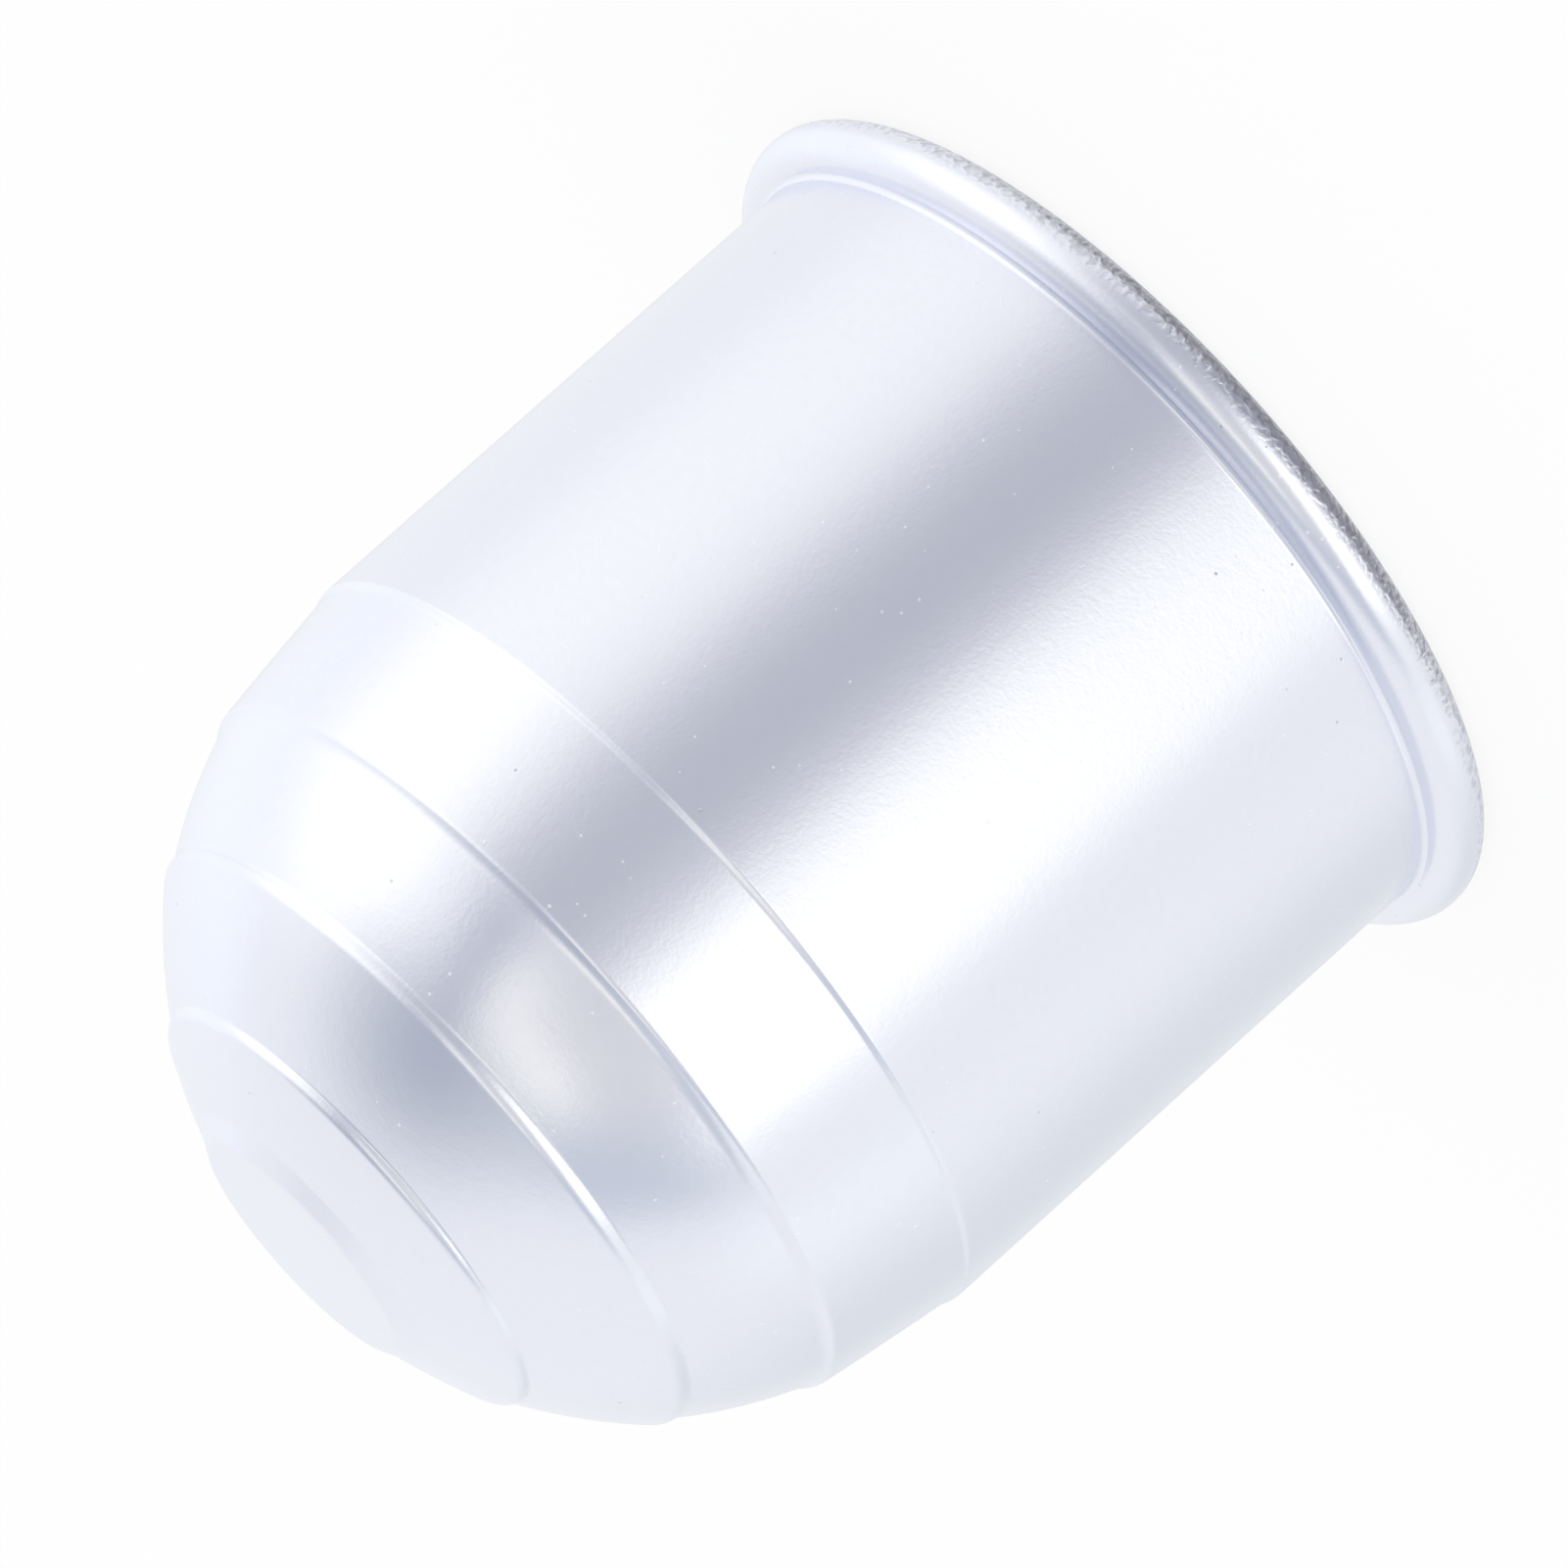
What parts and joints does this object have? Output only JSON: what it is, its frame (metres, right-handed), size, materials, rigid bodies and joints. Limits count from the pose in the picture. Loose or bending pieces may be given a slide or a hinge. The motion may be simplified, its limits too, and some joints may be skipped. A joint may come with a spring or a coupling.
{
  "type": "tow ball cover",
  "caption": "Moulded cap that pushes over a tow ball: drafted round body, dome stepped in bands, flat crown disc, rolled lip at the open end and grip ribs inside.",
  "frame": {"origin": "centre of the open rim's flat face, which the cap stands on", "axes": "+Z along the cap's axis of revolution, from the open rim to the crown; X and Y lie in the rim's face, with a grip rib half a rib spacing round from +X"},
  "size_m": [0.065, 0.065, 0.0722],
  "materials": {
    "plated_plastic": "satin"
  },
  "bodies": {
    "root": {"cover": "plated_plastic"}
  },
  "joints": []
}
